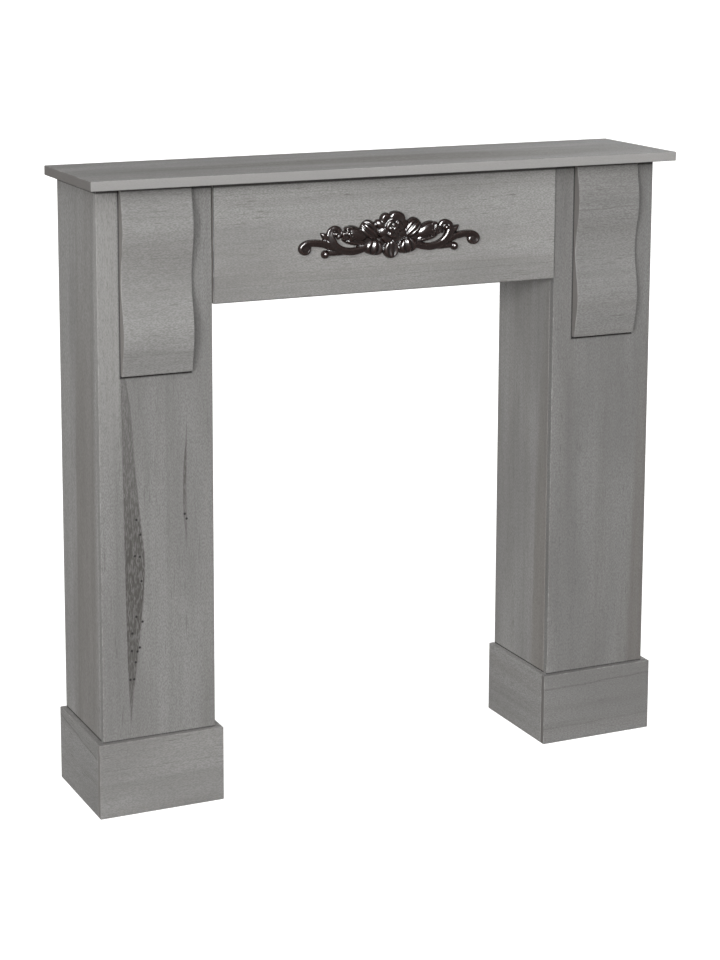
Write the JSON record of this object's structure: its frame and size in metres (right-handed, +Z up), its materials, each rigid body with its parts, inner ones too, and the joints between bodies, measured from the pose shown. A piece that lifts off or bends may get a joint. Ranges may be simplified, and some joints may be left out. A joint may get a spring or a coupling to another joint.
{
  "type": "fireplace mantelpiece",
  "caption": "Freestanding timber fireplace surround: overhanging shelf, frieze with moulded rose ornament, boxed columns with wavy corbels, and plinths.",
  "frame": {"origin": "on the floor, under the middle of the whole outline", "axes": "+X across the front to the right, +Y from the front towards the wall, +Z up"},
  "size_m": [1.01, 0.226, 1],
  "materials": {
    "level_grain_wood": "grey-stained light timber, satin, grain running level",
    "upright_grain_wood": "grey-stained light timber, satin, grain running upright",
    "dark_moulded_resin": "brown-black moulded resin, glossy"
  },
  "bodies": {
    "root": {"mantel_shelf": "level_grain_wood", "frieze_board": "level_grain_wood", "frieze_ornament": "dark_moulded_resin", "left_column_front": "upright_grain_wood", "left_column_outer_side": "upright_grain_wood", "left_column_inner_side": "upright_grain_wood", "right_column_front": "upright_grain_wood", "right_column_outer_side": "upright_grain_wood", "right_column_inner_side": "upright_grain_wood", "left_plinth_front": "level_grain_wood", "left_plinth_outer_side": "level_grain_wood", "left_plinth_inner_side": "level_grain_wood", "right_plinth_front": "level_grain_wood", "right_plinth_outer_side": "level_grain_wood", "right_plinth_inner_side": "level_grain_wood", "left_corbel": "level_grain_wood", "right_corbel": "level_grain_wood"}
  },
  "joints": []
}
